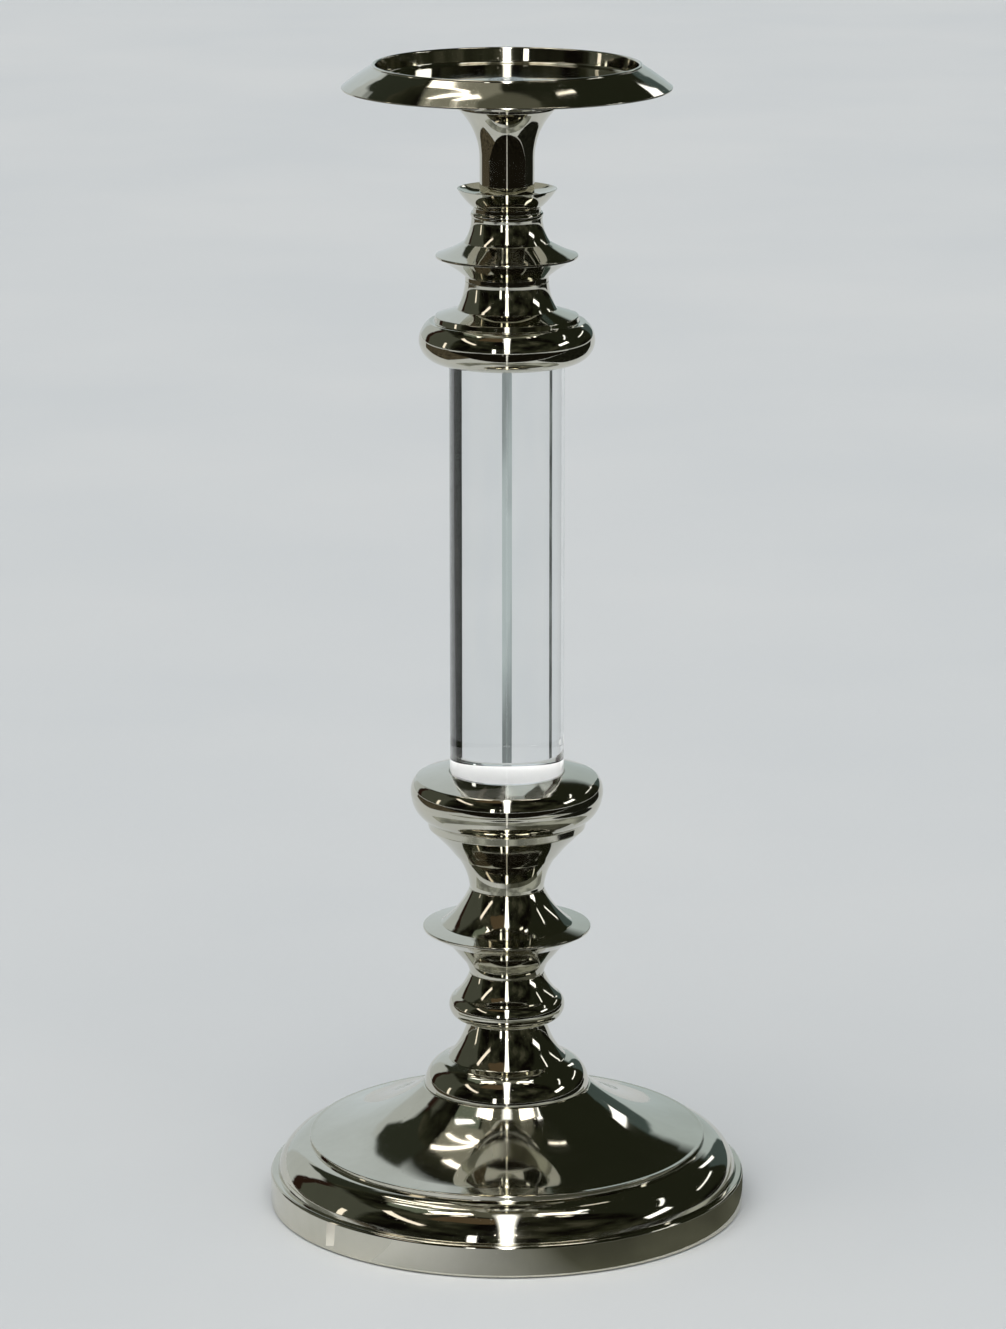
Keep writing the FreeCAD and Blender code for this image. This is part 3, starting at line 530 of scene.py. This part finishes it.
def read_outline(node):
    """The outline's points in order, and whether it is a closed loop or a chain that ends on the axis."""
    graph = outline_graph(node)
    ends = sorted(point for point, near in graph.items() if len(near) == 1)
    path = [ends[0] if ends else min(graph)]
    taken = set(path)
    while True:
        onward = sorted(graph[path[-1]] - taken)
        if not onward:
            break
        path.append(onward[0])
        taken.add(onward[0])
    if ends:
        path = [(0.0, path[0][1])] + path + [(0.0, path[-1][1])]
    return [Vector(point) for point in path], not ends


points, closed = read_outline("capital")
print("capital:", len(points), "points", "closed" if closed else "open")


# %% [markdown]
# A corner becomes a small curve that leaves one side and joins the next. A gentle curve of the CAD mesh is a
# row of short steps, and a spline through them adds the points between. Where a step is much longer than
# its neighbour or hardly turns, a straight stretch meets a curve, and nothing is added.

# %% Rounding the corners and smoothing the curves
CORNER = math.radians(9.5)  # a turn sharper than this is a corner, not a step of a curve
STRAIGHT = math.radians(0.4)  # a turn gentler than this belongs to a straight stretch
STEP_RATIO = 2.0  # steps that differ more than this belong to different stretches
ROUND_STEPS = 5
ROUND_SHARE = 0.4  # of a side's length, the most that the round at its end may take
CURVE_STEPS = 3
EDGE_MM = 0.25


def turn_at(before, corner, after):
    """The angle that the outline turns through at a corner, in radians."""
    return abs((corner - before).angle_signed(after - corner, 0))


def break_edges(points, closed, width):
    """The outline with every corner replaced by a small round, width mm back along both its sides."""
    count = len(points)
    made = []
    for index, corner in enumerate(points):
        at_end = not closed and index in (0, count - 1)
        before = points[index - 1]
        after = points[(index + 1) % count]
        if at_end or turn_at(before, corner, after) < CORNER:
            made.append([corner])
            continue
        reach = min(width, ROUND_SHARE * (corner - before).length, ROUND_SHARE * (after - corner).length)
        start = corner + (before - corner).normalized() * reach
        end = corner + (after - corner).normalized() * reach
        made.append([
            start * (1 - t) ** 2 + corner * 2 * t * (1 - t) + end * t ** 2
            for t in (step / ROUND_STEPS for step in range(ROUND_STEPS + 1))
        ])
    return [point for group in made for point in group]


def smooth_curves(points, closed):
    """Adds points along the gentle curves, on a spline through the ones that are there."""
    count = len(points)
    made = []
    for index in range(count if closed else count - 1):
        p0, p1, p2, p3 = (points[(index + shift) % count] for shift in (-1, 0, 1, 2))
        made.append(p1)
        if not closed and index in (0, count - 2):
            continue
        lengths = [(b - a).length for a, b in ((p0, p1), (p1, p2), (p2, p3))]
        even = max(lengths) < STEP_RATIO * min(lengths)
        bends = [turn_at(p0, p1, p2), turn_at(p1, p2, p3)]
        if not even or max(bends) > CORNER or min(bends) < STRAIGHT:
            continue
        for step in range(1, CURVE_STEPS):
            t = step / CURVE_STEPS
            made.append(
                0.5 * (2 * p1 + (p2 - p0) * t + (2 * p0 - 5 * p1 + 4 * p2 - p3) * t ** 2
                       + (3 * p1 - p0 - 3 * p2 + p3) * t ** 3)
            )
    if not closed:
        made.append(points[-1])
    return made


fine = break_edges(smooth_curves(points, closed), closed, EDGE_MM)
print("capital, rounded and smoothed:", len(fine), "points")


# %% [markdown]
# A mirror shows the smallest error in the direction that a surface faces. If Blender averaged the faces round
# each vertex, the wide flats would seem to bend next to their narrow rounds. So each ring of the spun mesh
# is given its own direction, mostly that of the longer stretch beside it, and the flats stay flat.

# %% Spinning an outline
def facing(points, closed):
    """The direction that the outline faces at each point, mostly that of the longer stretch beside it."""
    count = len(points)
    directions = []
    for index, point in enumerate(points):
        sides = []
        if closed or index > 0:
            sides.append(point - points[index - 1])
        if closed or index < count - 1:
            sides.append(points[(index + 1) % count] - point)
        total = sum((side.normalized() * side.length ** 2 for side in sides), Vector((0, 0)))
        directions.append(Vector((total.y, -total.x)).normalized())
    area = sum(a.x * b.y - b.x * a.y for a, b in zip(points, points[1:] + points[:1]))
    return directions if area > 0 else [-direction for direction in directions]


def spin(name, points, closed, steps):
    """A mesh object: the outline, in mm, spun about Z. Points on the axis become single vertices."""
    directions = facing(points, closed)
    vertices, normals, rings = [], [], []
    for point, direction in zip(points, directions):
        radius, height = point.x * MM, point.y * MM
        ring = range(steps) if radius > 0 else range(1)
        rings.append([len(vertices) + step for step in ring])
        for step in ring:
            angle = 2 * math.pi * step / steps
            vertices.append((radius * math.cos(angle), radius * math.sin(angle), height))
            flat = direction.x if radius > 0 else 0
            normals.append((flat * math.cos(angle), flat * math.sin(angle), direction.y))
    faces = []
    for index in range(len(rings) if closed else len(rings) - 1):
        lower, upper = rings[index], rings[(index + 1) % len(rings)]
        for step in range(steps):
            following = (step + 1) % steps
            corners = [lower[step % len(lower)], lower[following % len(lower)]]
            corners += [upper[following % len(upper)], upper[step % len(upper)]]
            faces.append(list(dict.fromkeys(corners)))
    mesh = bpy.data.meshes.new(name)
    mesh.from_pydata(vertices, [], [face for face in faces if len(face) > 2])
    turned_right = sum(p.normal.dot(Vector(normals[p.vertices[0]])) for p in mesh.polygons) > 0
    if not turned_right:
        mesh.flip_normals()
    mesh.shade_smooth()
    mesh.normals_split_custom_set_from_vertices(normals)
    thing = bpy.data.objects.new(name, mesh)
    bpy.context.scene.collection.objects.link(thing)
    return thing


outward, upward = facing(fine, closed)[0]
print("the capital's first point faces", round(outward, 2), "outward and", round(upward, 2), "upward")

# %% [markdown]
# A finished piece reads its outline, rounds and smooths it, is spun, and then takes the CAD node's place. A
# wide piece is spun in more steps than a narrow one, so that its rim looks just as round.

# %% A finished piece
MIN_STEPS = 128
STEPS_PER_ROOT = 28  # steps round a piece for each square root of a millimetre of its radius


def steps_round(radius):
    """How many steps a piece of this radius in mm is spun in, a multiple of four."""
    return 4 * round(max(MIN_STEPS, STEPS_PER_ROOT * math.sqrt(radius)) / 4)


def turned_piece(name, node, material, edge):
    """A finished piece that stands for a CAD node, with its corners broken by this many mm."""
    points, closed = read_outline(node)
    fine = break_edges(smooth_curves(points, closed), closed, edge)
    widest = max(point.x for point in fine)
    steps = steps_round(widest)
    piece = spin(name, fine, closed, steps)
    piece.data.materials.append(material)
    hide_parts(node)
    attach(piece, "root")
    print(f"{name}: {len(fine)} points spun in {steps} steps, {2 * widest:.1f} mm wide")
    return piece


# %% [markdown]
# ## Polished nickel
# The stem is turned brass, plated with nickel and buffed on a wheel. Nickel is a slightly warm grey metal:
# it takes a little more from blue light than from red. Buffing leaves three things that the eye reads as
# real: rings so shallow that they only bend the reflections, a haze that comes and goes over a few
# centimetres, and highlights that stretch along the stem, because the finest marks all run round it. The
# stretch comes from anisotropy: its tangent runs round the axis, and is then turned by a quarter. Buffing
# marks are a few hundredths of a millimetre apart, far too fine to show, so the rings here are drawn about
# 1 mm apart.

# %% Nickel
NICKEL = ("#d6d3c6", "#cac7b9")
HAZE_MM = 28.0
POLISH = (0.03, 0.075)  # the roughness in the clearest and in the haziest places
DUST_MM = 0.9
DUST_ROUGHNESS = 0.12
DUST_RARE = (0.66, 0.74)  # the noise has to pass the first for a speck and the second for a full one
WAVE_MM = 16.0
WAVE_DEPTH = 0.016  # mm, as the next two depths
RIPPLE_MM = 7.0
RIPPLE_DEPTH = 0.006
RING_MM = 1.0
RING_DEPTH = 0.0006


def per_mm(size):
    """The texture scale that makes a pattern this many mm large."""
    return 1 / (size * MM)


def round_the_axis(tree, place):
    """The place as (radius, 0, height), so that a pattern on it is the same all round."""
    parts = add_node(tree, "ShaderNodeSeparateXYZ", inputs={0: place})
    flat = add_node(tree, "ShaderNodeCombineXYZ", inputs={"X": parts.outputs["X"], "Y": parts.outputs["Y"]})
    radius = add_node(tree, "ShaderNodeVectorMath", {"operation": "LENGTH"}, {0: flat})
    inputs = {"X": radius.outputs["Value"], "Z": parts.outputs["Z"]}
    return add_node(tree, "ShaderNodeCombineXYZ", inputs=inputs)


def make_nickel():
    """Nickel whose waves lie anyhow, and whose ripples and rings run round the axis."""
    constants = {"Metallic": 1.0, "Anisotropic": 0.7, "Anisotropic_Rotation": 0.25}
    material, tree, shader = new_material("polished_nickel_plate", **constants)
    place = add_node(tree, "ShaderNodeTexCoord").outputs["Object"]
    rings = round_the_axis(tree, place).outputs["Vector"]
    clouds = {"Vector": place, "Scale": per_mm(HAZE_MM), "Detail": 5.0, "Roughness": 0.6}
    haze = add_node(tree, "ShaderNodeTexNoise", inputs=clouds)
    tones = [(0.35, linear(NICKEL[0])), (0.7, linear(NICKEL[1]))]
    tone = add_node(tree, "ShaderNodeValToRGB", {"stops": tones}, {"Fac": haze})
    dust = add_node(tree, "ShaderNodeTexNoise", inputs={"Vector": place, "Scale": per_mm(DUST_MM)})
    rare = {0: dust, 1: DUST_RARE[0], 2: DUST_RARE[1], 3: 0.0, 4: DUST_ROUGHNESS}
    specks = add_node(tree, "ShaderNodeMapRange", inputs=rare)
    buffed = {0: haze, 1: 0.3, 2: 0.72, 3: POLISH[0], 4: POLISH[1]}
    polish = add_node(tree, "ShaderNodeMapRange", inputs=buffed)
    total = add_node(tree, "ShaderNodeMath", {"operation": "ADD"}, {0: polish, 1: specks})
    relief = None
    reliefs = ((place, WAVE_MM, WAVE_DEPTH), (rings, RIPPLE_MM, RIPPLE_DEPTH), (rings, RING_MM, RING_DEPTH))
    for where, size, depth in reliefs:
        hills = add_node(tree, "ShaderNodeTexNoise", inputs={"Vector": where, "Scale": per_mm(size)})
        under = {"Normal": relief} if relief else {}
        relief = add_node(tree, "ShaderNodeBump", inputs={"Distance": depth * MM, "Height": hills, **under})
    around = add_node(tree, "ShaderNodeTangent", {"direction_type": "RADIAL", "axis": "Z"})
    connect(tree, shader, Base_Color=tone, Roughness=total, Normal=relief, Tangent=around)
    return material


nickel = make_nickel()
print("made", nickel.name)

# %% [markdown]
# ## The turned brass
# From the foot up: the spun base, the ferrule that stands on its dome, the knob, the sharp lower flange and
# the capital under the clear column; then the collar over it, the thin disc, the cup neck and the candle
# plate. Each is spun from its own CAD outline. Sheet and knife edges are broken a little less than the rest.

# %% Turned pieces
TURNED = [
    # piece, CAD node, how far its corners are broken in mm
    ("spun_base", "base_shell", 0.3),
    ("dome_ferrule", "base_ferrule", 0.3),
    ("ball_knob", "knob", 0.3),
    ("stepped_flange", "lower_flange", 0.25),
    ("crowned_capital", "capital", 0.3),
    ("bulging_collar", "upper_collar", 0.3),
    ("thin_disc", "upper_disc", 0.2),
    ("cup_and_trumpet", "cup_neck", 0.25),
    ("pillar_plate", "candle_plate", 0.2),
]
for piece_name, node, edge in TURNED:
    turned_piece(piece_name, node, nickel, edge)

# %% [markdown]
# ## The clear column
# The column is solid cast acrylic, turned to size and flame-polished. Acrylic bends light a little less than
# glass does, and a thick bar shows a breath of blue-grey. White foam pads hold its ends. They wet the
# acrylic, so that there is no air between them and the pad shows white through the bar: each pad's mesh
# stands a few hundredths of a millimetre inside the column.

# %% Acrylic
ACRYLIC = ("#fdfefe", "#f8fafa")
TINT_MM = 30.0
RUB_MM = 2.5
RUB_ROUGHNESS = 0.06
SWELL_MM = 22.0
SWELL_DEPTH = 0.03  # mm


def make_acrylic():
    material, tree, shader = new_material("cast_acrylic", Transmission_Weight=1.0, IOR=1.49)
    place = add_node(tree, "ShaderNodeTexCoord").outputs["Object"]
    tints = [(0.3, linear(ACRYLIC[0])), (0.7, linear(ACRYLIC[1]))]
    clouds = add_node(tree, "ShaderNodeTexNoise", inputs={"Vector": place, "Scale": per_mm(TINT_MM)})
    tint = add_node(tree, "ShaderNodeValToRGB", {"stops": tints}, {"Fac": clouds})
    rubs = {"Vector": place, "Scale": per_mm(RUB_MM), "Detail": 4.0}
    rubbed = add_node(tree, "ShaderNodeTexNoise", inputs=rubs)
    rub = add_node(tree, "ShaderNodeMapRange", inputs={0: rubbed, 1: 0.55, 2: 0.8, 3: 0.0, 4: RUB_ROUGHNESS})
    swells = {"Vector": place, "Scale": per_mm(SWELL_MM), "Detail": 1.0}
    swell = add_node(tree, "ShaderNodeTexNoise", inputs=swells)
    waves = add_node(tree, "ShaderNodeBump", inputs={"Distance": SWELL_DEPTH * MM, "Height": swell})
    connect(tree, shader, Base_Color=tint, Roughness=rub, Normal=waves)
    return material


clear_column = turned_piece("clear_column", "column", make_acrylic(), edge=0.1)
clear_column.visible_shadow = False  # light reaches the pads through it

# %% Foam pads
CELL_MM = 0.6
PAD_BITE = 0.03  # mm that a pad's face stands inside the column
PAD_INSET = 0.5  # mm that a pad is narrower than its CAD solid, all round
PAD_EDGE = 0.2


def make_foam():
    """Closed-cell foam: white, dull, with cells about a third of a millimetre across, drawn at 0.6 mm."""
    material, tree, shader = new_material("white_foam", Roughness=0.85)
    place = add_node(tree, "ShaderNodeTexCoord").outputs["Object"]
    cells = add_node(tree, "ShaderNodeTexVoronoi", inputs={"Vector": place, "Scale": per_mm(CELL_MM)})
    whites = [(0.0, linear("#ffffff")), (0.9, linear("#f1f3f5"))]
    white = add_node(tree, "ShaderNodeValToRGB", {"stops": whites}, {"Fac": cells})
    pits = add_node(tree, "ShaderNodeBump", inputs={"Strength": 0.5, "Distance": 0.05 * MM, "Height": cells})
    connect(tree, shader, Base_Color=white, Normal=pits)
    return material


def foam_pad(name, node, material, up):
    """A pad with rounded edges, whose face towards the column, up or down, bites into it."""
    low, high = (corner.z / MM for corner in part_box(node))
    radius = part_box(node)[1].x / MM - PAD_INSET
    if up:
        high += PAD_BITE
    else:
        low -= PAD_BITE
    outline = [Vector(point) for point in ((0, low), (radius, low), (radius, high), (0, high))]
    pad = spin(name, break_edges(outline, False, PAD_EDGE), False, MIN_STEPS)
    pad.data.materials.append(material)
    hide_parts(node)
    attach(pad, "root")
    print(f"{name}: {2 * radius:.1f} mm wide, {high - low:.2f} mm thick")


foam = make_foam()
foam_pad("column_foot_pad", "column_pad_lower", foam, up=True)
foam_pad("column_head_pad", "column_pad_upper", foam, up=False)


# %% [markdown]
# ## Felt
# A disc of wool felt under the base keeps it from scratching the altar. Felt is matted, not woven: short
# fibres lie every way, and the cut edge is a little ragged. The disc is spun like the rest and its edge then
# moved in by small smooth amounts. The fibres are a distorted noise with much fine detail.

# %% Felt disc
FELT_GREENS = ("#12281c", "#2f5a40")
FIBRE_MM = 1.2
NAP_DEPTH = 0.3  # mm
FELT_EDGE = 0.5
FELT_RAGGED = 0.35  # mm
FELT_WAVES = (5, 13, 29, 47)  # waves round the edge


def make_felt():
    material, tree, shader = new_material("wool_felt", Roughness=0.95, Sheen_Weight=0.4, Sheen_Roughness=0.6)
    place = add_node(tree, "ShaderNodeTexCoord").outputs["Object"]
    matted = {"Vector": place, "Scale": per_mm(FIBRE_MM), "Detail": 8.0, "Roughness": 0.75, "Distortion": 1.5}
    fibres = add_node(tree, "ShaderNodeTexNoise", inputs=matted)
    greens = [(0.3, linear(FELT_GREENS[0])), (0.7, linear(FELT_GREENS[1]))]
    green = add_node(tree, "ShaderNodeValToRGB", {"stops": greens}, {"Fac": fibres})
    matting = {"Strength": 0.9, "Distance": NAP_DEPTH * MM, "Height": fibres}
    nap = add_node(tree, "ShaderNodeBump", inputs=matting)
    connect(tree, shader, Base_Color=green, Normal=nap)
    return material


def felt_disc():
    piece = turned_piece("felt_disc", "felt_pad", make_felt(), FELT_EDGE)
    widest = max(math.hypot(v.co.x, v.co.y) for v in piece.data.vertices)
    for vertex in piece.data.vertices:
        radius = math.hypot(vertex.co.x, vertex.co.y)
        at_edge = radius > 0.9 * widest
        if not at_edge:
            continue
        angle = math.atan2(vertex.co.y, vertex.co.x)
        waves = sum(math.sin(count * angle + count) for count in FELT_WAVES)
        dip = 0.5 + 0.5 * waves / len(FELT_WAVES)  # from 0 to 1
        scale = 1 - FELT_RAGGED * MM * dip / radius
        vertex.co.x *= scale
        vertex.co.y *= scale


felt_disc()


# %% [markdown]
# ## Steel and iron inside
# What holds the candlestick together is out of sight, apart from the screw's head in the candle's seat.
# These pieces keep their CAD meshes and get the finish of the real ones: bright zinc on the steel, whose
# spangle is patches a few millimetres across, and rough black paint on the iron.

# %% Zinc and painted iron
SPANGLE_MM = 4.0
TURNING_MM = 0.5  # tool marks, a few times coarser than real ones
TURNING_DEPTH = 0.01
SAND_MM = 1.5
SAND_DEPTH = 0.3


def make_zinc():
    material, tree, shader = new_material("zinc_plated_steel", Metallic=1.0, Anisotropic=0.3)
    place = add_node(tree, "ShaderNodeTexCoord").outputs["Object"]
    rings = round_the_axis(tree, place).outputs["Vector"]
    spangle = add_node(tree, "ShaderNodeTexVoronoi", inputs={"Vector": place, "Scale": per_mm(SPANGLE_MM)})
    greys = [(0.1, linear("#b9bdc0")), (0.9, linear("#d0d3d4"))]
    grey = add_node(tree, "ShaderNodeValToRGB", {"stops": greys}, {"Fac": spangle.outputs["Color"]})
    marks = {"Vector": rings, "Scale": per_mm(TURNING_MM), "Detail": 4.0}
    turning = add_node(tree, "ShaderNodeTexNoise", inputs=marks)
    rough = add_node(tree, "ShaderNodeMapRange", inputs={0: turning, 1: 0.3, 2: 0.7, 3: 0.2, 4: 0.4})
    grooves = {"Strength": 0.6, "Distance": TURNING_DEPTH * MM, "Height": turning}
    lines = add_node(tree, "ShaderNodeBump", inputs=grooves)
    connect(tree, shader, Base_Color=grey, Roughness=rough, Normal=lines)
    return material


def make_iron():
    material, tree, shader = new_material("painted_cast_iron")
    place = add_node(tree, "ShaderNodeTexCoord").outputs["Object"]
    grains = {"Vector": place, "Scale": per_mm(SAND_MM), "Detail": 6.0}
    sand = add_node(tree, "ShaderNodeTexNoise", inputs=grains)
    blacks = [(0.35, linear("#1f1f20")), (0.75, linear("#3a3634"))]
    black = add_node(tree, "ShaderNodeValToRGB", {"stops": blacks}, {"Fac": sand})
    rough = add_node(tree, "ShaderNodeMapRange", inputs={0: sand, 1: 0.3, 2: 0.7, 3: 0.55, 4: 0.8})
    pits = {"Strength": 0.8, "Distance": SAND_DEPTH * MM, "Height": sand}
    grit = add_node(tree, "ShaderNodeBump", inputs=pits)
    connect(tree, shader, Base_Color=black, Roughness=rough, Normal=grit)
    return material


zinc = make_zinc()
iron = make_iron()
print("made", zinc.name, "and", iron.name)

# %% The pieces inside
STEEL_NODES = [
    "base_cover", "cover_screws", "lower_tie_rod", "upper_tie_rod",
    "base_washer", "base_spring_washer", "base_nut", "plate_screw",
]


def finish_node(node, material):
    """Gives a CAD node its finish and leaves its mesh as it is."""
    for material_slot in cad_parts[node].material_slots:
        material_slot.material = material


for node in STEEL_NODES:
    finish_node(node, zinc)
finish_node("base_weight", iron)
print("finished", len(STEEL_NODES) + 1, "nodes inside")
